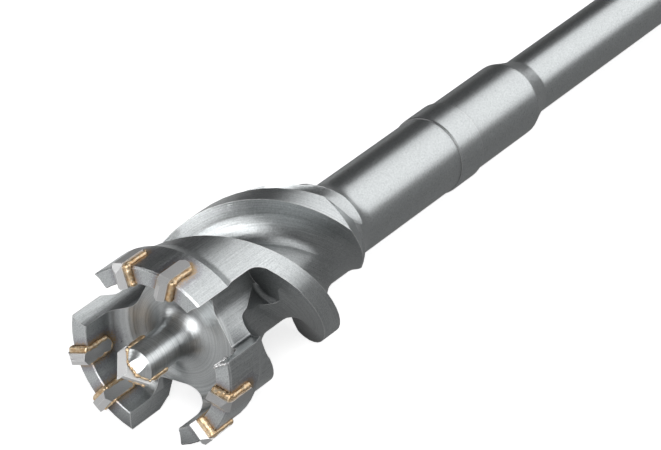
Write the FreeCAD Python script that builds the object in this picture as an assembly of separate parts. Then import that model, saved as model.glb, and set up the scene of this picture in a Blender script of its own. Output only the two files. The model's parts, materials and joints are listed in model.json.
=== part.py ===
import FreeCAD, Part
import os
from math import atan2, cos, degrees, radians, sin, tan

# Sizes in millimetres and degrees. Each shape is first built upright: z runs along the drill
# from the crown's front face (z = 0) toward the shank, and angles are counted about z.

# Overall
total_length = 600.0
crown_radius = 31.0
lobe_count = 3

# Crown ring and bowl
crown_depth = 15.2
ring_back_length = 5.2
ring_back_round = 6.0
wall_thickness = 5.9
rim_chamfer = 0.6
bowl_depth = 16.2
bowl_wall_round = 6.5

# Windows between the lobes
window_width = 19.4
window_floor = 17.7
window_length = 40.6
window_heel_round = 9.0
window_heel_end = 4.0
window_leading_round = 9.0
window_trailing_round = 1.0

# Spiral behind the crown
land_radius = 28.4
land_end = 77.5
land_edge_round = 1.0
taper_foot_radius = 18.6
taper_length = 13.5
taper_brim_radius = 18.2
taper_brim_length = 2.0
taper_brim_round = 0.5
spiral_lead = 111.6
flute_floor_radius = 15.4
flute_front_width = 7.65
flute_front_slope = 0.525
flute_front_round = 6.5
flute_back_width = 13.3
flute_back_slope = 0.05
flute_back_round = 8.0
flute_crossing = 26.8
flute_start_angle = 26.0
flute_lead_in = 30.0
mouth_spindle_gap = 3.4
mouth_sweep = 70.0
mouth_slope = 34.6
cup_radius = 13.0
cup_floor = 15.0
cup_offset = 3.4
cup_overrun = 4.0
cup_length = 18.0
cup_front_round = 6.0
cup_heel_round = 1.5
flute_overrun = 32.0

# Shaft, collar and neck
shaft_radius = 13.68
shaft_foot_length = 8.0
shaft_foot_round = 12.0
collar_radius = 14.2
collar_start = 157.7
collar_length = 12.8
collar_chamfer = 0.5
sleeve_radius = 13.49
sleeve_end = 206.8
shoulder_length = 9.7
shoulder_round = 3.0
neck_radius = 10.4

# Shank
shank_radius = 9.0
shank_length = 90.0
shank_guide = 25.0
shank_groove_width = 2.0
shank_groove_depth = 0.5
shank_shoulder = 4.0
shank_shoulder_round = 0.5
shank_chamfer = 1.2
lock_slot_radius = 4.5
lock_slot_depth = 2.6
lock_slot_setback = 27.0
lock_slot_length = 27.0
lock_slot_angles = (90.0, 270.0)
drive_slot_width = 5.0
drive_slot_depth = 2.4
drive_slot_length = 58.0
drive_slot_angles = (0.0, 150.0, 210.0)

# Pilot pin and its carbide tip
pilot_radius = 6.3
pilot_root_round = 8.0
pilot_lead = 15.5
pilot_cone = 45.0
cheek_slope = 38.7
tip_proud = 1.6
tip_thickness = 3.4
tip_overhang = 0.6
tip_side_land = 2.6
tip_side_slope = 25.0
tip_seat = 1.0
tip_half_angle = 45.0
tip_relief = 20.0
tip_turn = 18.3

# Carbide teeth, two to a lobe
tooth_places = {1: (-16.0, 16.5), 2: (-14.5, 17.5), 3: (-17.5, 14.5)}
tooth_thickness = 4.0
tooth_heel_bevel = 1.3
tooth_lead = 3.6
tooth_seat = 10.6
tooth_slope = 35.0
tooth_outside = 1.5
tooth_inside = 0.7
tooth_corner = 2.4

# Braze in the seats, with a bead along one side of each tooth
braze_gap = 0.25
braze_skin = 0.3
braze_bead = 1.1
side_bead = 0.65
tip_bead = 0.75
bead_sides = {1: (1, 1), 2: (-1, -1), 3: (1, 1)}

# How the drill lies: its roll about its own axis
roll = 23.1

V = FreeCAD.Vector
AXIS = V(0, 0, 1)
OUTWARD = V(1, 0, 0)
ORIGIN = V(0, 0, 0)
far = 2.0 * crown_radius
clear = 5.0
bore = crown_radius - wall_thickness
tip_point = -pilot_lead
cone_tip = tip_point + tip_proud
cone_foot = cone_tip + pilot_radius / tan(radians(pilot_cone))
shank_end = total_length - pilot_lead


# Wire round a list of (across, along, round) corners in the xz plane
def rounded_wire(corners):
    edges, first, last = [], None, None
    count = len(corners)
    for i, (x, z, radius) in enumerate(corners):
        here = V(x, 0, z)
        before = V(corners[i - 1][0], 0, corners[i - 1][1])
        after = V(corners[(i + 1) % count][0], 0, corners[(i + 1) % count][1])
        a, b = (before - here).normalize(), (after - here).normalize()
        if radius > 0:
            half = a.getAngle(b) / 2
            start = here + a * (radius / tan(half))
            end = here + b * (radius / tan(half))
            middle = here + (a + b).normalize() * (radius / sin(half) - radius)
        else:
            start = end = here
        if last is None:
            first = start
        else:
            edges.append(Part.makeLine(last, start))
        if radius > 0:
            edges.append(Part.Arc(start, middle, end).toShape())
        last = end
    edges.append(Part.makeLine(last, first))
    return Part.Wire(edges)


# Solid turned about the drill's axis
def turned(corners):
    return Part.Face(rounded_wire(corners)).revolve(ORIGIN, AXIS, 360)


# Copy of a shape turned about the drill's axis
def around(shape, angle):
    copy = shape.copy()
    copy.rotate(ORIGIN, AXIS, angle)
    return copy


# The shape without what lies beyond a plane
def trimmed(shape, point, normal, reach=far):
    slab = Part.makeBox(2 * reach, 2 * reach, reach, V(-reach, -reach, 0))
    slab.Placement = FreeCAD.Placement(point, FreeCAD.Rotation(AXIS, normal))
    return shape.cut(slab)


# The one solid a row of cuts leaves
def whole(shape):
    return max(shape.Solids, key=lambda solid: solid.Volume)


# The pilot's cone with a flat ground on the cheek at each side of its tip
def cheeked(shape):
    lean = radians(cheek_slope)
    for side in (-1, 1):
        shape = trimmed(shape, V(0, side * pilot_radius, cone_foot), V(0, side * sin(lean), -cos(lean)),
                        2 * pilot_radius)
    return shape


# Crown, pilot pin, spiral lands, shaft and shank as one turned blank
def blank():
    ring_end = crown_depth + ring_back_length
    taper_end = land_end + taper_length
    collar_end = collar_start + collar_length
    neck_start = sleeve_end + shoulder_length
    shank_start = shank_end - shank_length
    groove_start = shank_start + shank_guide
    groove_radius = shank_radius - shank_groove_depth
    return turned([
        (0, cone_tip, 0),
        (pilot_radius, cone_foot, 0),
        (pilot_radius, bowl_depth, pilot_root_round),
        (bore, bowl_depth, bowl_wall_round),
        (bore, rim_chamfer / 2, 0),
        (bore + rim_chamfer / 2, 0, 0),
        (crown_radius - rim_chamfer, 0, 0),
        (crown_radius, rim_chamfer, 0),
        (crown_radius, crown_depth, 0),
        (land_radius, ring_end, ring_back_round),
        (land_radius, land_end, land_edge_round),
        (taper_foot_radius, taper_end, 0),
        (taper_brim_radius, taper_end + taper_brim_length, taper_brim_round),
        (shaft_radius, taper_end + taper_brim_length + shaft_foot_length, shaft_foot_round),
        (shaft_radius, collar_start, 0),
        (collar_radius - collar_chamfer / 2, collar_start, 0),
        (collar_radius, collar_start + collar_chamfer, 0),
        (collar_radius, collar_end, 0),
        (sleeve_radius, collar_end, 0),
        (sleeve_radius, sleeve_end, shoulder_round),
        (neck_radius, neck_start, shoulder_round),
        (neck_radius, shank_start - shank_shoulder, shoulder_round),
        (shank_radius, shank_start, shank_shoulder_round),
        (shank_radius, groove_start, 0),
        (groove_radius, groove_start, 0),
        (groove_radius, groove_start + shank_groove_width, 0),
        (shank_radius, groove_start + shank_groove_width, 0),
        (shank_radius, shank_end - shank_chamfer, 0),
        (shank_radius - shank_chamfer, shank_end, 0),
        (0, shank_end, 0),
    ])


# Window on angle 0: flat floor, slanted heel, one soft and one tight floor corner
def window():
    half = window_width / 2
    brim = crown_radius + clear
    rise = tan(radians(mouth_slope))
    section = rounded_wire([
        (window_floor, -half, window_trailing_round),
        (window_floor, half, window_leading_round),
        (brim, half, 0),
        (brim, -half, 0),
    ])
    face = Part.Face(section)
    face.rotate(ORIGIN, OUTWARD, 90)
    channel = face.extrude(V(0, 0, 2 * window_length))
    channel.translate(V(0, 0, -clear))
    outline = rounded_wire([
        (-half, -clear, 0),
        (-half, window_length - rise * half, window_heel_round),
        (window_heel_end, window_length + rise * window_heel_end, 0),
        (half, window_length + rise * window_heel_end, 0),
        (half, -clear, 0),
    ])
    walls = Part.Face(outline).extrude(V(0, -brim, 0))
    return channel.common(around(walls, 90))


# Helical flute swept by its section along the drill, running in before angle 0
def flute_run(rise):
    brim = crown_radius + clear
    lead_in = flute_lead_in / 360 * spiral_lead
    path = Part.Wire(Part.makeHelix(spiral_lead, rise + lead_in, land_radius).Edges)
    depth = brim - flute_floor_radius
    section = rounded_wire([
        (brim, -flute_front_width - flute_front_slope * depth, 0),
        (flute_floor_radius, -flute_front_width, flute_front_round),
        (flute_floor_radius, flute_back_width, flute_back_round),
        (brim, flute_back_width + flute_back_slope * depth, 0),
    ])
    sweep = Part.BRepOffsetAPI.MakePipeShell(path)
    sweep.setFrenetMode(True)
    sweep.add(section)
    sweep.build()
    sweep.makeSolid()
    run = around(sweep.shape(), -flute_lead_in)
    run.translate(V(0, 0, -lead_in))
    return run


# Flute with its mouth: the run's front end swung up out of the steel, as a side cutter leaves it
def flute():
    start = flute_crossing + flute_start_angle / 360 * spiral_lead
    slope = radians(mouth_slope)
    forward = V(0, -cos(slope), -sin(slope))
    spindle = V(0, -sin(slope), cos(slope))
    run = whole(trimmed(flute_run(land_end + taper_length + flute_overrun - start), V(land_radius, 0, 0),
                        forward, crown_radius))
    end = max(run.Faces, key=lambda face: face.CenterOfMass.dot(forward))
    mouth = end.revolve(V(crown_radius + clear + mouth_spindle_gap, 0, 0), spindle, mouth_sweep)
    cut = run.fuse(mouth)
    cut.translate(V(0, 0, start))
    return around(cut, flute_start_angle)


# Cup that the flute's cutter leaves against the heel of the window on angle 0
def heel_cup():
    slope = radians(mouth_slope)
    cup = turned([
        (0, -cup_length, 0),
        (cup_radius, -cup_length, cup_front_round),
        (cup_radius, 0, cup_heel_round),
        (0, 0, 0),
    ])
    cup = trimmed(cup, V(0, cup_overrun, 0), V(0, 1, 0))
    cup.rotate(ORIGIN, OUTWARD, mouth_slope)
    cup.translate(V(cup_floor + cup_radius, cup_offset * cos(slope), window_length + cup_offset * sin(slope)))
    return cup


# Plate standing out along x with flat sides and a bevelled inner end
def plate(thickness, seat, lead, inner, outer):
    half = thickness / 2
    narrow = half - tooth_heel_bevel
    shoulder = seat - tooth_heel_bevel
    outline = [(-half, -lead), (half, -lead), (half, shoulder), (narrow, seat), (-narrow, seat), (-half, shoulder)]
    corners = [V(inner, y, z) for y, z in outline]
    return Part.Face(Part.makePolygon(corners + corners[:1])).extrude(V(outer - inner, 0, 0))


# Tooth on angle 0: gable front, bevelled outer corner
def tooth():
    outer = crown_radius + tooth_outside
    solid = plate(tooth_thickness, tooth_seat, tooth_lead, bore - tooth_inside, outer)
    tilt = radians(tooth_slope)
    for side in (-1, 1):
        solid = trimmed(solid, V(0, 0, -tooth_lead), V(0, side * sin(tilt), -cos(tilt)))
    return trimmed(solid, V(outer - tooth_corner, 0, -tooth_lead), V(1, 0, -1))


# Seat milled through the wall for one tooth
def tooth_seat_cut():
    return plate(tooth_thickness + 2 * braze_gap, tooth_seat + braze_gap, clear,
                 bore - clear, crown_radius + clear)


# Braze in one tooth's seat, with beads along one side of the tooth
def tooth_braze(side):
    half = tooth_thickness / 2 + braze_gap
    skin = plate(2 * half, tooth_seat + braze_gap, braze_skin, bore - braze_skin,
                 crown_radius + braze_skin)
    straight = tooth_seat - tooth_heel_bevel
    face_bead = Part.makeCylinder(braze_bead, wall_thickness + 2 * braze_skin,
                                  V(bore - braze_skin, side * half, 0), OUTWARD)
    outer_bead = Part.makeCylinder(side_bead, straight, V(crown_radius, side * half, 0), AXIS)
    inner_bead = Part.makeCylinder(side_bead, straight, V(bore, side * half, 0), AXIS)
    return skin.fuse([face_bead, outer_bead, inner_bead])


# Roof-shaped carbide plate across the pilot pin, along x
def pilot_tip():
    reach = pilot_radius + tip_overhang
    half = tip_thickness / 2
    lean = radians(tip_half_angle)
    relief = radians(tip_relief)
    taper = radians(tip_side_slope)
    tip_corner = tip_point + reach / tan(lean)
    halves = []
    for side in (-1, 1):
        wing = Part.makeBox(reach, tip_thickness, tip_seat - tip_point, V(0, -half, tip_point))
        cut = V(cos(lean), tan(relief), -sin(lean))
        wing = trimmed(wing, V(0, -half, tip_point), cut)
        wing = trimmed(wing, V(reach, 0, tip_corner + tip_side_land), V(cos(taper), 0, sin(taper)))
        halves.append(around(wing, 0 if side > 0 else 180))
    return halves[0].fuse(halves[1])


# Slot milled across the pilot pin for its tip
def pilot_slot():
    width = tip_thickness + 2 * braze_gap
    return Part.makeBox(far, width, tip_seat + braze_gap + far, V(-far / 2, -width / 2, -far))


# Braze in the pilot's slot and along both faces of the tip
def tip_braze():
    width = tip_thickness + 2 * braze_gap
    radius = pilot_radius + braze_skin
    slug = turned([
        (0, cone_tip - braze_skin, 0),
        (radius, cone_tip - braze_skin + radius, 0),
        (radius, tip_seat + braze_gap, 0),
        (0, tip_seat + braze_gap, 0),
    ])
    skin = slug.common(Part.makeBox(far, width, far, V(-far / 2, -width / 2, tip_seat + braze_gap - far)))
    beads = []
    lean = radians(pilot_cone)
    for side in (-1, 1):
        start = V(0, side * width / 2, cone_tip + width / 2)
        for way in (-1, 1):
            beads.append(Part.makeCylinder(tip_bead, (pilot_radius - tip_bead) / cos(lean), start,
                                           V(way * sin(lean), 0, cos(lean))))
    return cheeked(skin.fuse(beads))


# Closed ball-ended slot and open drive slot of the shank, on angle 0
def lock_slot():
    depth = shank_radius - lock_slot_depth + lock_slot_radius
    rear = shank_end - lock_slot_setback
    front = rear - lock_slot_length
    rod = Part.makeCylinder(lock_slot_radius, lock_slot_length, V(depth, 0, front), AXIS)
    return rod.fuse([Part.makeSphere(lock_slot_radius, V(depth, 0, z)) for z in (front, rear)])


def drive_slot():
    floor = shank_radius - drive_slot_depth
    front = shank_end - drive_slot_length
    slot = Part.makeBox(2 * drive_slot_depth, drive_slot_width, drive_slot_length + clear,
                        V(floor, -drive_slot_width / 2, front))
    end = Part.makeCylinder(drive_slot_width / 2, 2 * drive_slot_depth, V(floor, 0, front), OUTWARD)
    return slot.fuse(end)


# The steel piece with its windows, flutes, seats and shank slots cut
def drill_body(tooth_angles):
    step = 360.0 / lobe_count
    cuts = [around(window(), i * step) for i in range(lobe_count)]
    cuts += [around(flute(), i * step) for i in range(lobe_count)]
    cuts += [around(heel_cup(), i * step) for i in range(lobe_count)]
    cuts += [around(tooth_seat_cut(), a) for a in tooth_angles]
    cuts += [around(lock_slot(), a) for a in lock_slot_angles]
    cuts += [around(drive_slot(), a) for a in drive_slot_angles]
    cuts.append(around(pilot_slot(), tip_turn))
    body = around(cheeked(blank()), tip_turn)
    for cut in cuts:
        body = body.cut(cut)
    return body


# Lower hull of the (along, height) outline: where the lying drill touches the floor
def resting_line(points, balance):
    hull = []
    for p in sorted(points):
        while len(hull) > 1 and ((hull[-1][0] - hull[-2][0]) * (p[1] - hull[-2][1])
                                 <= (hull[-1][1] - hull[-2][1]) * (p[0] - hull[-2][0])):
            hull.pop()
        hull.append(p)
    for a, b in zip(hull, hull[1:]):
        if a[0] <= balance <= b[0]:
            return degrees(atan2(b[1] - a[1], b[0] - a[0]))
    raise ValueError("the centre of mass lies outside the drill's outline")


# Lays the upright shapes along x, at rest on the floor, centred on the origin
def laid_down(shapes):
    flat = FreeCAD.Rotation(OUTWARD, roll) * FreeCAD.Rotation(V(1, 1, 1), 120)
    for shape in shapes.values():
        shape.Placement = FreeCAD.Placement(ORIGIN, flat) * shape.Placement
    points = []
    for shape in shapes.values():
        points += [(round(p.x, 4), round(p.z, 4)) for p in shape.tessellate(0.05)[0]]
    tilt = resting_line(points, shapes["drill_body"].CenterOfMass.x)
    for shape in shapes.values():
        shape.Placement = FreeCAD.Placement(ORIGIN, FreeCAD.Rotation(V(0, 1, 0), tilt)) * shape.Placement
    box = FreeCAD.BoundBox()
    for shape in shapes.values():
        box.add(shape.optimalBoundingBox())
    shift = V(-box.Center.x, -box.Center.y, -box.ZMin)
    for shape in shapes.values():
        shape.translate(shift)
    print("tilt", round(tilt, 4), "shift", shift)
    return shapes


def main():
    os.makedirs("parts", exist_ok=True)
    step = 360.0 / lobe_count
    seats = {}
    for lobe in range(1, lobe_count + 1):
        centre = (lobe - 0.5) * step
        for place, angle in enumerate(tooth_places[lobe]):
            seats["%d_%d" % (lobe, place + 1)] = (centre + angle, bead_sides[lobe][place])
    body = drill_body([angle for angle, _ in seats.values()])
    shapes = {"drill_body": body}
    for name, (angle, side) in seats.items():
        bit = around(tooth(), angle)
        shapes["tooth_" + name] = bit
        shapes["tooth_braze_" + name] = around(tooth_braze(side), angle).cut([bit, body])
    tip = around(pilot_tip(), tip_turn)
    shapes["pilot_tip"] = tip
    shapes["pilot_braze"] = around(tip_braze(), tip_turn).cut([tip, body])
    print("solids", {name: len(shape.Solids) for name, shape in shapes.items()})
    shapes = laid_down({name: whole(shape) for name, shape in shapes.items()})
    for name, shape in shapes.items():
        shape.exportStep("parts/" + name + ".step")
        print(name, shape.isValid(), round(shape.Volume, 2))


main()
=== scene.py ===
# %% [markdown]
# # A breakthrough drill bit on a pale floor
# A breakthrough drill bit opens holes for pipes through brick and concrete. It is one long steel
# turning with a hollow, three-lobed crown in front. Each lobe carries two carbide teeth, brazed into
# milled seats, and a slim pilot pin in the middle carries a carbide tip. This lesson dresses the CAD
# model of the drill: it sets a camera, soft light and a floor, gives the steel, carbide and braze
# their finishes, and replaces the CAD's plain braze with flowed, lumpy metal.

import json
import math

import bmesh
import bpy
from mathutils import Matrix, Vector


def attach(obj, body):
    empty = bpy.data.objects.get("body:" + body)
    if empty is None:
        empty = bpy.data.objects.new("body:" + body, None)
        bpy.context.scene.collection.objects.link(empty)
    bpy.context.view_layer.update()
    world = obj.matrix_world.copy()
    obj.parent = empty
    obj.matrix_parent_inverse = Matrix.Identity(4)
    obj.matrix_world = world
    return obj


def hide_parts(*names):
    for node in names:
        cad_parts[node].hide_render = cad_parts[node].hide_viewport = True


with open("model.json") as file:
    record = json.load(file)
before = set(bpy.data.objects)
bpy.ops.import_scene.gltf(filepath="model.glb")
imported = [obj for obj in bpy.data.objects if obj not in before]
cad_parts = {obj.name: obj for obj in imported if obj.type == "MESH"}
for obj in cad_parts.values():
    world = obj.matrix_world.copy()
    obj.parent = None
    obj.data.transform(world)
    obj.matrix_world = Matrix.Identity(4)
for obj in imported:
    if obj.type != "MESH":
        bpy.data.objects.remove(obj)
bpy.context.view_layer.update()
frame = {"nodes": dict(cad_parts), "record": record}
nodes = frame["nodes"]

# %% [markdown]
# ## Where the drill lies
# The drill rests on its crown and on the rim of its shank, so its axis is a little out of level. The
# model's record says where the shank's guide is and which way it points, and the centre of the
# crown's rim is a known step forward along that axis. In the drill's own coordinates `x` runs along
# the axis from that rim toward the shank. One matrix, `lie`, takes them to the scene.

# %% The drill's own coordinates
MM = 0.001
ROLL = math.radians(23.1)
SHANK_ALONG = 507.0

mount = frame["record"]["mounts"][0]
axis = Vector(mount["axis"]).normalized()
crown_centre = Vector(mount["pos_m"]) - axis * SHANK_ALONG * MM
tilt = math.atan2(-axis.z, axis.x)
lie = Matrix.Translation(crown_centre) @ Matrix.Rotation(tilt, 4, "Y") @ Matrix.Rotation(ROLL, 4, "X")
print("crown centre:", crown_centre, "tilt:", round(math.degrees(tilt), 3))

# %% [markdown]
# ## Camera
# The photograph was taken from in front of the crown, a little to one side and above, through a long
# lens that keeps the crown almost free of perspective. The camera's place and axes were measured
# against the crown in a frame whose windows sit 26.7 degrees round from the side, so they are turned
# with the drill's roll before use.

# %% Camera
PHOTO_WINDOW = math.radians(26.7)
CROWN_RADIUS = 31.0
EYE = Vector((-29.950, -22.685, 22.772)) * CROWN_RADIUS * MM
RIGHT = Vector((0.5645755, -0.8253814, 0.0))
DOWN = Vector((-0.4067384, -0.2782163, -0.8701491))
FOCAL_PIXELS = 4366.5
PHOTO_WIDTH = 661.0
SENSOR = 36.0
NEAREST = 0.05
FARTHEST = 50.0

photo_to_scene = lie @ Matrix.Rotation(-PHOTO_WINDOW, 4, "X")
right = (photo_to_scene.to_3x3() @ RIGHT).normalized()
up = (photo_to_scene.to_3x3() @ -DOWN).normalized()
view = Matrix((right, up, right.cross(up))).transposed().to_4x4()

camera_data = bpy.data.cameras.new("camera")
camera_data.sensor_width = SENSOR
camera_data.lens = SENSOR * FOCAL_PIXELS / PHOTO_WIDTH
camera_data.clip_start = NEAREST
camera_data.clip_end = FARTHEST
camera = bpy.data.objects.new("camera", camera_data)
bpy.context.scene.collection.objects.link(camera)
camera.matrix_world = Matrix.Translation(photo_to_scene @ EYE) @ view
bpy.context.scene.camera = camera
print("lens:", round(camera_data.lens, 1), "camera at", camera.location)

# %% [markdown]
# ## A kit for node trees
# A finish is a formula: coordinates go in, and colour, roughness and bump come out. Written with bare
# nodes and links it takes a page, so a small kit adds one node per step and returns its output. The
# value of a step can be a number or another step's output.

def grey(value):
    """Neutral colour of one value."""
    return (value, value, value, 1)


class Kit:
    """Adds nodes to a new material's tree and joins them."""

    def __init__(self, name):
        self.material = bpy.data.materials.new(name)
        self.material.use_nodes = True
        self.tree = self.material.node_tree
        self.tree.nodes.clear()
        self.out = self.tree.nodes.new("ShaderNodeOutputMaterial")

    def node(self, kind, **settings):
        made = self.tree.nodes.new(kind)
        for key, value in settings.items():
            setattr(made, key, value)
        return made

    def put(self, value, socket):
        if isinstance(value, bpy.types.NodeSocket):
            self.tree.links.new(value, socket)
        else:
            socket.default_value = value

    def math(self, operation, *values):
        made = self.node("ShaderNodeMath", operation=operation)
        for value, socket in zip(values, made.inputs):
            self.put(value, socket)
        return made.outputs[0]

    def hypotenuse(self, first, second):
        squares = [self.math("MULTIPLY", side, side) for side in (first, second)]
        return self.math("SQRT", self.math("ADD", *squares))

    def split(self, vector):
        made = self.node("ShaderNodeSeparateXYZ")
        self.put(vector, made.inputs[0])
        return made.outputs[0], made.outputs[1], made.outputs[2]

    def join(self, x, y, z):
        made = self.node("ShaderNodeCombineXYZ")
        for value, socket in zip((x, y, z), made.inputs):
            self.put(value, socket)
        return made.outputs[0]

    def ramp(self, value, low, high, dark=0.0, light=1.0):
        """Value mapped from low..high to dark..light and held beyond."""
        made = self.node("ShaderNodeMapRange", clamp=True)
        for number, key in ((value, "Value"), (low, "From Min"), (high, "From Max"), (dark, "To Min"),
                            (light, "To Max")):
            self.put(number, made.inputs[key])
        return made.outputs["Result"]

    def blend(self, factor, first, second):
        """Colour between two colours or colour sockets."""
        made = self.node("ShaderNodeMix", data_type="RGBA")
        self.put(factor, made.inputs["Factor"])
        for value, socket in ((first, made.inputs[6]), (second, made.inputs[7])):
            self.put(value, socket)
        return made.outputs[2]


print("kit steps:", [step for step in vars(Kit) if not step.startswith("_")])

# %% [markdown]
# ## Floor
# The floor has to read white, as the photograph's background does, and lamps strong enough for that
# would bleach the steel. So it shines by itself, toward the camera and in reflections, and lights
# nothing else. In reflections one side of it is a white card and the other a dark one, which gives
# the shaft a pale rim and a dark band.

# %% Floor
FLOOR_SIZE = 40.0
FLOOR_TONE = 0.82
MIRRORED_TONE = 0.1
CAMERA_GLOW = 0.72
WHITE_SIDE = Vector((-0.6, 0.8, 0.0))
WHITE_CARD = 0.7
DARK_CARD = 0.14
FADE_START = -0.05
FADE_END = 0.03


def floor_material():
    """Pale in diffuse light, glowing to the camera, and a white and a dark card in reflections."""
    kit = Kit("pale_floor")
    path = kit.node("ShaderNodeLightPath")
    mirrored = path.outputs["Is Glossy Ray"]
    diffuse = kit.node("ShaderNodeBsdfDiffuse")
    kit.put(kit.blend(mirrored, grey(FLOOR_TONE), grey(MIRRORED_TONE)), diffuse.inputs["Color"])
    place = kit.node("ShaderNodeTexCoord")
    side = kit.node("ShaderNodeVectorMath", operation="DOT_PRODUCT")
    kit.put(place.outputs["Object"], side.inputs[0])
    kit.put(WHITE_SIDE, side.inputs[1])
    middle = crown_centre.dot(WHITE_SIDE)
    card = kit.ramp(side.outputs["Value"], middle + FADE_START, middle + FADE_END, DARK_CARD, WHITE_CARD)
    glow = kit.math("MULTIPLY_ADD", path.outputs["Is Camera Ray"], CAMERA_GLOW,
                    kit.math("MULTIPLY", mirrored, card))
    shine = kit.node("ShaderNodeEmission")
    kit.put(glow, shine.inputs["Strength"])
    total = kit.node("ShaderNodeAddShader")
    kit.put(diffuse.outputs[0], total.inputs[0])
    kit.put(shine.outputs[0], total.inputs[1])
    kit.put(total.outputs[0], kit.out.inputs["Surface"])
    return kit.material


half = FLOOR_SIZE / 2
floor_mesh = bpy.data.meshes.new("floor")
corners = [(-half, -half, 0), (half, -half, 0), (half, half, 0), (-half, half, 0)]
floor_mesh.from_pydata(corners, [], [(0, 1, 2, 3)])
floor_mesh.materials.append(floor_material())
floor = bpy.data.objects.new("floor", floor_mesh)
bpy.context.scene.collection.objects.link(floor)
print("floor:", FLOOR_SIZE, "m square")

# %% [markdown]
# ## Room and lamps
# Satin steel shows what is around it more than what falls on it. A wide soft lamp behind and above
# the drill makes the long highlight on the shaft. A second one in front lights the crown's face, and
# a small one from the left picks out its edges. The room stays dim, so that the bands between the
# lamps stay dark.

# %% Room and lamps
ROOM = 0.07
ROOM_COOLNESS = 1.02
LAMP_DISTANCE = 1.8
LAMPS = {
    "key": ((0.68, -0.48, 0.58), 3.3, 1.7, 1.35),
    "front": ((-0.70, -0.38, 0.60), 1.4, 1.5, 4.0),
    "left": ((-0.45, 0.78, 0.43), 0.9, 0.35, 4.5),
}


def add_lamp(name, direction, width, height, radiance):
    """Rectangular soft lamp in a direction from the crown, facing it, of a given radiance."""
    data = bpy.data.lights.new(name, "AREA")
    data.shape = "RECTANGLE"
    data.size = width
    data.size_y = height
    data.energy = radiance * math.pi * width * height
    lamp = bpy.data.objects.new(name, data)
    bpy.context.scene.collection.objects.link(lamp)
    way = Vector(direction).normalized()
    facing = way.to_track_quat("Z", "Y").to_matrix().to_4x4()
    lamp.matrix_world = Matrix.Translation(crown_centre + way * LAMP_DISTANCE) @ facing
    return lamp


world = bpy.data.worlds.new("room")
world.use_nodes = True
background = world.node_tree.nodes["Background"]
background.inputs["Color"].default_value = (ROOM, ROOM, ROOM * ROOM_COOLNESS, 1)
background.inputs["Strength"].default_value = 1.0
bpy.context.scene.world = world
for name, settings in LAMPS.items():
    lamp = add_lamp(name, *settings)
    print(name, "lamp:", round(lamp.data.energy, 1), "W at", lamp.location)
bpy.context.scene.view_settings.view_transform = "Standard"

# %% [markdown]
# ## What every finish needs
# Turning rings and milling lines belong to the drill's axis, so a finish has to know where it is on the
# drill. Object coordinates are carried back along the lie by three Mapping nodes, which leaves `x` along
# the axis and `y`, `z` across it, in millimetres. Grain, the edge mask for painted highlights and the
# metal shader are shared too. The edge mask comes from a Bevel node: where its rounded normal leaves the
# true one, the surface turns.

# %% Parts of a metal finish
EDGE_SAMPLES = 6
EDGE_FLAT = 0.995
EDGE_SHARP = 0.9


class Metal(Kit):
    """Kit for a metal that knows the drill's own coordinates."""

    def drill(self):
        """Socket with the drill's own coordinates in millimetres."""
        place = self.node("ShaderNodeTexCoord").outputs["Object"]
        for key, value in (("Location", -crown_centre), ("Rotation", (0, -tilt, 0)),
                           ("Rotation", (-ROLL, 0, 0))):
            step = self.node("ShaderNodeMapping", vector_type="POINT")
            step.inputs[key].default_value = value
            self.put(place, step.inputs["Vector"])
            place = step.outputs[0]
        step.inputs["Scale"].default_value = (1 / MM, 1 / MM, 1 / MM)
        return place

    def speckle(self, vector, scale, detail, roughness):
        made = self.node("ShaderNodeTexNoise")
        self.put(vector, made.inputs["Vector"])
        made.inputs["Scale"].default_value = scale
        made.inputs["Detail"].default_value = detail
        made.inputs["Roughness"].default_value = roughness
        return made.outputs["Fac"]

    def bump(self, height, strength, distance, normal=None):
        made = self.node("ShaderNodeBump")
        made.inputs["Strength"].default_value = strength
        made.inputs["Distance"].default_value = distance
        self.put(height, made.inputs["Height"])
        if normal is not None:
            self.put(normal, made.inputs["Normal"])
        return made.outputs["Normal"]

    def edges(self, reach):
        """0 on flat metal, 1 where the surface turns within reach metres."""
        rounded = self.node("ShaderNodeBevel", samples=EDGE_SAMPLES)
        rounded.inputs["Radius"].default_value = reach
        geometry = self.node("ShaderNodeNewGeometry")
        turned = self.node("ShaderNodeVectorMath", operation="DOT_PRODUCT")
        self.put(rounded.outputs[0], turned.inputs[0])
        self.put(geometry.outputs["Normal"], turned.inputs[1])
        return self.ramp(turned.outputs["Value"], EDGE_FLAT, EDGE_SHARP)

    def finished(self, colour, roughness, normal=None):
        shader = self.node("ShaderNodeBsdfPrincipled")
        shader.inputs["Metallic"].default_value = 1.0
        self.put(colour, shader.inputs["Base Color"])
        self.put(roughness, shader.inputs["Roughness"])
        if normal is not None:
            self.put(normal, shader.inputs["Normal"])
        self.put(shader.outputs[0], self.out.inputs["Surface"])
        return self.material


print("metal steps:", [step for step in vars(Metal) if not step.startswith("_")])

# %% [markdown]
# ## Tool marks on the steel
# The bowl and the pilot pin were turned, which leaves fine rings. The crown and its flutes were
# milled, which leaves lines that follow the spiral. Both are noise stretched in one direction. For
# the lines the coordinates are first unwound by the spiral's own turn, so that they run with it.

# %% Rings and lines
BOWL_RADIUS = 24.6
BOWL_DEPTH = 17.5
BOWL_FADE = 1.0
BOWL_RIM_FADE = 0.6
SPIRAL_START = 40.6
SPIRAL_END = 77.5
SPIRAL_LEAD = 111.6
MILLED_TO = 76.0
UNMILLED_FROM = 84.0
LINE_STRETCH = 0.03
RING_SCALE = 1.6
LINE_SCALE = 2.2
MARK_DETAIL = 4.0
MARK_ROUGHNESS = 0.75


def in_bowl(kit, along, radius):
    """1 in the bowl and on the pilot pin, 0 on the rest."""
    return kit.math("MULTIPLY", kit.ramp(radius, BOWL_RADIUS + BOWL_RIM_FADE, BOWL_RADIUS),
                    kit.ramp(along, BOWL_DEPTH + BOWL_FADE, BOWL_DEPTH))


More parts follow.
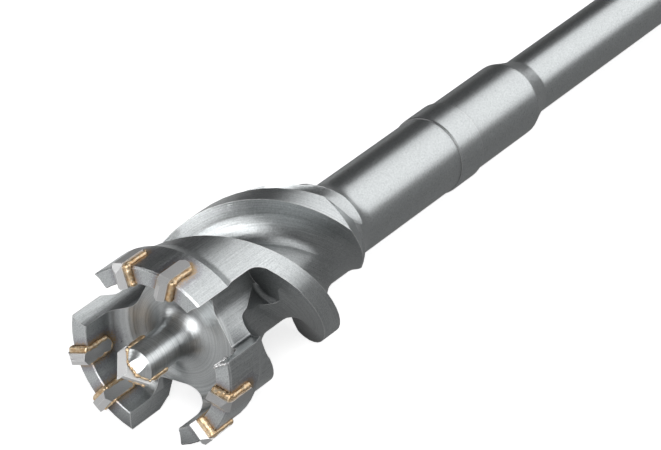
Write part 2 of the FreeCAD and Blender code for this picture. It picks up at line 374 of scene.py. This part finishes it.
def turning_rings(kit, along, radius):
    """Rings round the axis, on flat faces and on cylinders alike."""
    place = kit.join(kit.math("ADD", radius, along), 0.0, 0.0)
    return kit.speckle(place, RING_SCALE, MARK_DETAIL, MARK_ROUGHNESS)


def milling_lines(kit, place, along):
    """Lines along the flutes, which fade out where the shaft begins."""
    unwinding = -(SPIRAL_END - SPIRAL_START) / SPIRAL_LEAD * math.tau
    wound = kit.node("ShaderNodeVectorRotate", rotation_type="X_AXIS")
    kit.put(place, wound.inputs["Vector"])
    kit.put(kit.ramp(along, SPIRAL_START, SPIRAL_END, 0.0, unwinding), wound.inputs["Angle"])
    _, across, height = kit.split(wound.outputs[0])
    stretched = kit.join(kit.math("MULTIPLY", along, LINE_STRETCH), across, height)
    lines = kit.speckle(stretched, LINE_SCALE, MARK_DETAIL, MARK_ROUGHNESS)
    milled = kit.ramp(along, UNMILLED_FROM, MILLED_TO)
    return kit.math("ADD", kit.math("MULTIPLY", kit.math("SUBTRACT", lines, 0.5), milled), 0.5)


print("spiral turns", round((SPIRAL_END - SPIRAL_START) / SPIRAL_LEAD * 360, 1), "degrees")

# %% [markdown]
# ## Heat colours
# Brazing leaves the steel round each tooth stained, gold at the seam and bluish further out. The
# stain depends only on the distance from the seam, so that distance is worked out from the angles
# at which the teeth stand. It is shorter on the side of the tooth where the bead lies.

# %% Distance from the seams
TOOTH_ANGLES = (44.0, 76.5, 165.5, 197.5, 282.5, 314.5)
BEAD_SIDES = (1, 1, -1, -1, 1, 1)
SEAM_END = 8.6
HALF_TOOTH = 2.0
BARE_SIDE_EXTRA = 0.9
NO_STAIN = 40.0
OTHER_LOBES = 30.0
WALL_OUTER = 19.0
WALL_INNER = 17.0


def near_braze(kit, along, across, height):
    """Millimetres from the seam of the nearest tooth."""
    past_end = kit.math("MAXIMUM", kit.math("SUBTRACT", along, SEAM_END), 0.0)
    nearest = NO_STAIN
    for angle, side in zip(TOOTH_ANGLES, BEAD_SIDES):
        turn = math.radians(angle)
        outward = kit.math("ADD", kit.math("MULTIPLY", across, math.cos(turn)),
                           kit.math("MULTIPLY", height, math.sin(turn)))
        beside = kit.math("SUBTRACT", kit.math("MULTIPLY", height, math.cos(turn) * side),
                          kit.math("MULTIPLY", across, math.sin(turn) * side))
        reach = kit.math("SUBTRACT", kit.hypotenuse(beside, past_end), HALF_TOOTH)
        away = kit.math("ADD", reach, kit.ramp(beside, 0.0, -HALF_TOOTH, 0.0, BARE_SIDE_EXTRA))
        elsewhere = kit.ramp(outward, WALL_OUTER, WALL_INNER, 0.0, OTHER_LOBES)
        nearest = kit.math("MINIMUM", nearest, kit.math("ADD", away, elsewhere))
    return nearest


print("stained teeth:", len(TOOTH_ANGLES))

# %% [markdown]
# ## Steel
# The drill is blasted after milling, so its steel is a mottled satin grey. Its colour is built in layers,
# each over the last: mottle, grain and tool marks, the turned bowl, lightened as a painted reflection,
# with its darker rings, the heat stains, painted shade in corners and hollows, and painted highlights
# along the edges.

# %% Steel
DARK_STEEL = (0.34, 0.36, 0.365, 1)
LIGHT_STEEL = (0.74, 0.765, 0.77, 1)
# The bowl's colour: turned steel, lightened as a painted reflection of the pale floor.
BOWL_STEEL_AND_REFLECTION = (0.88, 0.905, 0.91, 1)
RING_STEEL = (0.22, 0.23, 0.235, 1)
BLUE_STAIN = (0.28, 0.25, 0.31, 1)
GOLD_STAIN = (0.62, 0.41, 0.19, 1)
# Painted shade: near black laid into corners and hollows.
PAINTED_SHADE = (0.05, 0.052, 0.055, 1)
# Painted highlight: pale grey laid along edges found by the Bevel node.
GLINT_STEEL = grey(0.85)
# Reach and samples of the ambient occlusion that lays the painted shade.
SHADE_REACH = 15.0 * MM
SHADE_SAMPLES = 8
MOTTLE = (1.6, 6.0, 0.65)
GRAIN = (2.6, 4.0, 0.75)
# Reach of the painted edge highlight.
GLINT_REACH = 0.45 * MM
GRAIN_HEIGHT = 0.06 * MM
MARK_HEIGHT = 0.09 * MM


def steel_colour(kit, tone, inside, rings, heat):
    """Colour of the steel before the painted edge highlights, from its marks, its bowl, its heat and
    painted shade in its corners.
    """
    base = kit.blend(kit.ramp(tone, 0.36, 0.64), DARK_STEEL, LIGHT_STEEL)
    # Painted reflection: the turned bowl is lightened toward pale grey, as if it mirrored the floor.
    base = kit.blend(kit.math("MULTIPLY", inside, 0.6), base, BOWL_STEEL_AND_REFLECTION)
    base = kit.blend(kit.math("MULTIPLY", inside, kit.ramp(rings, 0.42, 0.62, 0.0, 0.5)), base, RING_STEEL)
    stained = kit.blend(kit.ramp(heat, 5.0, 2.8, 0.0, 0.5), base, BLUE_STAIN)
    stained = kit.blend(kit.ramp(heat, 3.0, 1.0, 0.0, 0.95), stained, GOLD_STAIN)
    # Painted shade: ambient occlusion darkens corners, hollows and flute mouths toward near black; the
    # bowl keeps more of its light.
    occlusion = kit.node("ShaderNodeAmbientOcclusion", samples=SHADE_SAMPLES)
    occlusion.inputs["Distance"].default_value = SHADE_REACH
    unshaded = kit.math("MAXIMUM", kit.ramp(occlusion.outputs["AO"], 0.4, 0.98),
                     kit.math("MULTIPLY", inside, 0.6))
    return kit.blend(unshaded, PAINTED_SHADE, stained)


def steel_finish():
    """Blasted and turned steel: mottled outside, ringed in the bowl, lined along the flutes."""
    kit = Metal("satin_steel")
    place = kit.drill()
    along, across, height = kit.split(place)
    radius = kit.hypotenuse(across, height)
    mottle = kit.speckle(place, *MOTTLE)
    grain = kit.speckle(place, *GRAIN)
    inside = in_bowl(kit, along, radius)
    rings = turning_rings(kit, along, radius)
    lines = milling_lines(kit, place, along)
    marks = kit.math("ADD", kit.math("MULTIPLY", rings, inside),
                     kit.math("MULTIPLY", lines, kit.math("SUBTRACT", 1.0, inside)))
    fine = kit.math("ADD", kit.math("MULTIPLY", grain, 0.3), kit.math("MULTIPLY", marks, 0.4))
    tone = kit.math("ADD", kit.math("MULTIPLY", mottle, 0.3), fine)
    heat = kit.math("ADD", near_braze(kit, along, across, height), kit.ramp(mottle, 0.3, 0.7, -1.2, 1.2))
    # Painted highlight: edges are lightened toward pale grey, and made a little rougher.
    glint = kit.edges(GLINT_REACH)
    colour = kit.blend(kit.math("MULTIPLY", glint, 0.8), steel_colour(kit, tone, inside, rings, heat),
                       GLINT_STEEL)
    roughness = kit.math("ADD", kit.ramp(mottle, 0.3, 0.7, 0.27, 0.38), kit.math("MULTIPLY", glint, 0.2))
    blasted = kit.bump(grain, 0.3, GRAIN_HEIGHT)
    return kit.finished(colour, roughness, kit.bump(marks, 0.8, MARK_HEIGHT, blasted))


steel = steel_finish()
print("steel:", len(steel.node_tree.nodes), "nodes")

# %% [markdown]
# ## Carbide and braze
# The teeth are ground carbide, paler and finer than the steel, with painted highlights along their edges.
# The braze is a golden filler with copper stains and an uneven skin. Both are one or two noises deep: the
# braze gets its lumps from geometry, further down.

# %% Carbide and braze
PALE_GOLD = (0.86, 0.72, 0.52, 1)
COPPER = (0.66, 0.44, 0.24, 1)


def carbide_finish():
    """Ground carbide: pale, fine-grained, with painted highlights along its edges."""
    kit = Metal("ground_carbide")
    grain = kit.speckle(kit.drill(), 7.0, 4.0, 0.7)
    base = kit.blend(kit.ramp(grain, 0.3, 0.7), grey(0.52), grey(0.74))
    # Painted highlight: the teeth's edges are lightened toward pale grey.
    colour = kit.blend(kit.math("MULTIPLY", kit.edges(0.3 * MM), 0.8), base, grey(0.9))
    return kit.finished(colour, kit.ramp(grain, 0.3, 0.7, 0.32, 0.46), kit.bump(grain, 0.2, 0.05 * MM))


def braze_finish():
    """Flowed braze: golden with copper stains and a wet, uneven skin."""
    kit = Metal("flowed_braze")
    place = kit.drill()
    stain = kit.speckle(place, 0.9, 5.0, 0.6)
    ripple = kit.speckle(place, 2.6, 3.0, 0.6)
    gold = kit.blend(kit.ramp(stain, 0.35, 0.62), PALE_GOLD, COPPER)
    return kit.finished(gold, kit.ramp(ripple, 0.3, 0.7, 0.32, 0.5), kit.bump(ripple, 0.4, 0.15 * MM))


finishes = {"steel": steel, "carbide": carbide_finish(), "braze": braze_finish()}
slots = {part["node"]: part["material_slot"] for part in frame["record"]["subparts"]}
for name, node in nodes.items():
    node.data.materials.clear()
    node.data.materials.append(finishes[slots[name]])
print("finished nodes:", {slot: sum(s == slot for s in slots.values()) for slot in finishes})

# %% [markdown]
# ## Flowed braze
# Molten filler creeps out of the seat and freezes in lumps. Modelling each bead by hand would give
# seven different shapes to keep, so one Geometry Nodes tree melts them all: the plain bead is turned
# into a volume and back, which rounds it, and its skin is then swollen and rippled by noise.

# %% Trees that make geometry
BAND = 1.0 * MM
SKIN_DENSITY = 0.1
LUMP_SCALE = 0.3 / MM
LUMP_DETAIL = 3.0
LUMP_MIDDLE = 0.45


def new_tree(name, inputs, output):
    """Empty Geometry Nodes tree with named inputs and one output of geometry."""
    tree = bpy.data.node_groups.new(name, "GeometryNodeTree")
    for label, kind in inputs.items():
        tree.interface.new_socket(label, in_out="INPUT", socket_type="NodeSocket" + kind)
    tree.interface.new_socket(output, in_out="OUTPUT", socket_type="NodeSocketGeometry")
    return tree


def end_tree(tree, geometry, metal):
    """Makes the geometry real, gives it its metal and sends it out."""
    real = tree.nodes.new("GeometryNodeRealizeInstances")
    coat = tree.nodes.new("GeometryNodeSetMaterial")
    done = tree.nodes.new("NodeGroupOutput")
    tree.links.new(geometry, real.inputs[0])
    tree.links.new(real.outputs[0], coat.inputs["Geometry"])
    tree.links.new(metal, coat.inputs["Material"])
    tree.links.new(coat.outputs[0], done.inputs[0])


def melting_tree():
    """Geometry Nodes: bead in, rounded and rippled metal out."""
    inputs = {"Bead": "Geometry", "Voxel": "Float", "Swell": "Float", "Lumps": "Float", "Seed": "Float",
              "Metal": "Material"}
    tree = new_tree("melted_bead", inputs, "Melted")
    add = tree.nodes.new
    link = tree.links.new
    given = add("NodeGroupInput")
    volume = add("GeometryNodeMeshToVolume")
    volume.resolution_mode = "VOXEL_SIZE"
    link(given.outputs["Bead"], volume.inputs["Mesh"])
    link(given.outputs["Voxel"], volume.inputs["Voxel Size"])
    volume.inputs["Interior Band Width"].default_value = BAND
    skin = add("GeometryNodeVolumeToMesh")
    link(volume.outputs[0], skin.inputs["Volume"])
    skin.inputs["Threshold"].default_value = SKIN_DENSITY
    lumps = add("ShaderNodeTexNoise")
    lumps.noise_dimensions = "4D"
    lumps.inputs["Scale"].default_value = LUMP_SCALE
    lumps.inputs["Detail"].default_value = LUMP_DETAIL
    link(add("GeometryNodeInputPosition").outputs[0], lumps.inputs["Vector"])
    link(given.outputs["Seed"], lumps.inputs["W"])
    centred = add("ShaderNodeMath")
    centred.operation = "SUBTRACT"
    link(lumps.outputs["Fac"], centred.inputs[0])
    centred.inputs[1].default_value = LUMP_MIDDLE
    push = add("ShaderNodeMath")
    push.operation = "MULTIPLY_ADD"
    link(centred.outputs[0], push.inputs[0])
    link(given.outputs["Lumps"], push.inputs[1])
    link(given.outputs["Swell"], push.inputs[2])
    offset = add("ShaderNodeVectorMath")
    offset.operation = "SCALE"
    link(add("GeometryNodeInputNormal").outputs[0], offset.inputs[0])
    link(push.outputs[0], offset.inputs["Scale"])
    move = add("GeometryNodeSetPosition")
    link(skin.outputs[0], move.inputs["Geometry"])
    link(offset.outputs[0], move.inputs["Offset"])
    smooth = add("GeometryNodeSetShadeSmooth")
    link(move.outputs[0], smooth.inputs[0])
    end_tree(tree, smooth.outputs[0], given.outputs["Metal"])
    return tree


melting = melting_tree()
print("melting tree:", len(melting.nodes), "nodes")

# %% [markdown]
# ## Melt every bead
# A CAD piece arrives as loose triangles, which don't close round a volume, so each bead is welded
# first. After its tree has run, the result is kept as a plain mesh, and the flowed bead takes the
# place of the CAD's. The pilot's braze is melted on a finer grid than that of the teeth.

# %% Melt every bead
WELD = 0.002 * MM
VOXEL = 0.2 * MM
PILOT_VOXEL = 0.12 * MM
SWELL = 0.42 * MM
LUMPS = 1.5 * MM


def merged_copy(node, name):
    """Welded copy of a CAD piece, with its faces turned outward."""
    mesh = node.data.copy()
    work = bmesh.new()
    work.from_mesh(mesh)
    bmesh.ops.remove_doubles(work, verts=work.verts, dist=WELD)
    bmesh.ops.recalc_face_normals(work, faces=work.faces)
    work.to_mesh(mesh)
    work.free()
    piece = bpy.data.objects.new(name, mesh)
    bpy.context.scene.collection.objects.link(piece)
    return piece


def grow(piece, tree, inputs):
    """Runs a tree on a piece and keeps the result as the piece's own plain mesh."""
    modifier = piece.modifiers.new("grow", "NODES")
    modifier.node_group = tree
    for item in tree.interface.items_tree:
        if item.in_out == "INPUT" and item.name in inputs:
            modifier[item.identifier] = inputs[item.name]
    bpy.context.view_layer.update()
    evaluated = piece.evaluated_get(bpy.context.evaluated_depsgraph_get())
    result = bpy.data.meshes.new_from_object(evaluated)
    piece.modifiers.clear()
    piece.data = result


for count, name in enumerate(sorted(n for n in nodes if "braze" in n)):
    bead = merged_copy(nodes[name], "flowed_" + name)
    voxel = PILOT_VOXEL if name == "pilot_braze" else VOXEL
    grow(bead, melting, {"Voxel": voxel, "Swell": SWELL, "Lumps": LUMPS, "Seed": float(count),
                         "Metal": finishes["braze"]})
    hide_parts(name)
    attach(bead, "root")
    print(bead.name, len(bead.data.polygons), "faces")

# %% [markdown]
# ## Burr on the lobe's corner
# The cutter that opened the windows pushed a rough burr up along the front corner of one lobe. Its
# crumbs are too many to place by hand, so a tree strings small chips along an edge, turned and
# scaled at random from a fixed seed.

# %% Chips along an edge
CHIP_RADIUS = 0.6 * MM
FULL_TURN = 6.3
SMALLEST_CHIP = (0.5, 0.3, 0.4)
LARGEST_CHIP = (1.3, 0.8, 1.1)


def random_vector(tree, seed, low, high):
    """Output of a node that draws a vector between two corners for each point."""
    drawn = tree.nodes.new("FunctionNodeRandomValue")
    drawn.data_type = "FLOAT_VECTOR"
    drawn.inputs[0].default_value = low
    drawn.inputs[1].default_value = high
    tree.links.new(seed, drawn.inputs["Seed"])
    return drawn.outputs[0]


def chips_tree():
    """Geometry Nodes: chips strewn along a straight edge."""
    inputs = {"Start": "Vector", "End": "Vector", "Count": "Int", "Spread": "Float", "Seed": "Int",
              "Metal": "Material"}
    tree = new_tree("chips", inputs, "Chips")
    add = tree.nodes.new
    link = tree.links.new
    given = add("NodeGroupInput")
    seed = given.outputs["Seed"]
    edge = add("GeometryNodeCurvePrimitiveLine")
    link(given.outputs["Start"], edge.inputs["Start"])
    link(given.outputs["End"], edge.inputs["End"])
    points = add("GeometryNodeCurveToPoints")
    link(edge.outputs[0], points.inputs["Curve"])
    link(given.outputs["Count"], points.inputs["Count"])
    spread = add("ShaderNodeVectorMath")
    spread.operation = "SCALE"
    link(random_vector(tree, seed, (-1, -1, -1), (1, 1, 1)), spread.inputs[0])
    link(given.outputs["Spread"], spread.inputs["Scale"])
    strewn = add("GeometryNodeSetPosition")
    link(points.outputs[0], strewn.inputs["Geometry"])
    link(spread.outputs[0], strewn.inputs["Offset"])
    chip = add("GeometryNodeMeshIcoSphere")
    chip.inputs["Radius"].default_value = CHIP_RADIUS
    strung = add("GeometryNodeInstanceOnPoints")
    link(strewn.outputs[0], strung.inputs["Points"])
    link(chip.outputs["Mesh"], strung.inputs["Instance"])
    link(random_vector(tree, seed, (0, 0, 0), (FULL_TURN,) * 3), strung.inputs["Rotation"])
    link(random_vector(tree, seed, SMALLEST_CHIP, LARGEST_CHIP), strung.inputs["Scale"])
    end_tree(tree, strung.outputs[0], given.outputs["Metal"])
    return tree


chips = chips_tree()
print("chips tree:", len(chips.nodes), "nodes")

# %% [markdown]
# ## String the burr
# The burr follows two edges that meet at the lobe's corner: one outward across the rim, one back
# along the window. Their ends are given as places on the drill, by distance along the axis, radius
# and angle about it. The crumbs are freshly torn steel, so they are brighter than the lobe.

# %% String the burr
TORN_STEEL = grey(0.9)
TORN_ROUGHNESS = 0.35
CORNER = (0.0, 25.3, 142.5)
OUTWARD_END = (0.0, 30.2, 138.7)
BACKWARD_END = (7.0, 25.2, 142.7)
STRINGS = ((OUTWARD_END, 34, 0.3), (BACKWARD_END, 16, 0.2))
FIRST_SEED = 3


def at(along, radius, angle):
    """Scene point of a place on the drill, from millimetres and degrees."""
    turn = math.radians(angle)
    return lie @ (Vector((along, radius * math.cos(turn), radius * math.sin(turn))) * MM)


torn = Metal("bright_burr").finished(TORN_STEEL, TORN_ROUGHNESS)
for count, (end, number, spread) in enumerate(STRINGS):
    burr = bpy.data.objects.new(f"burr_{count + 1}", bpy.data.meshes.new("burr"))
    bpy.context.scene.collection.objects.link(burr)
    grow(burr, chips, {"Start": at(*CORNER), "End": at(*end), "Count": number, "Spread": spread * MM,
                       "Seed": count + FIRST_SEED, "Metal": torn})
    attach(burr, "root")
    print(burr.name, len(burr.data.polygons), "faces")

# %% [markdown]
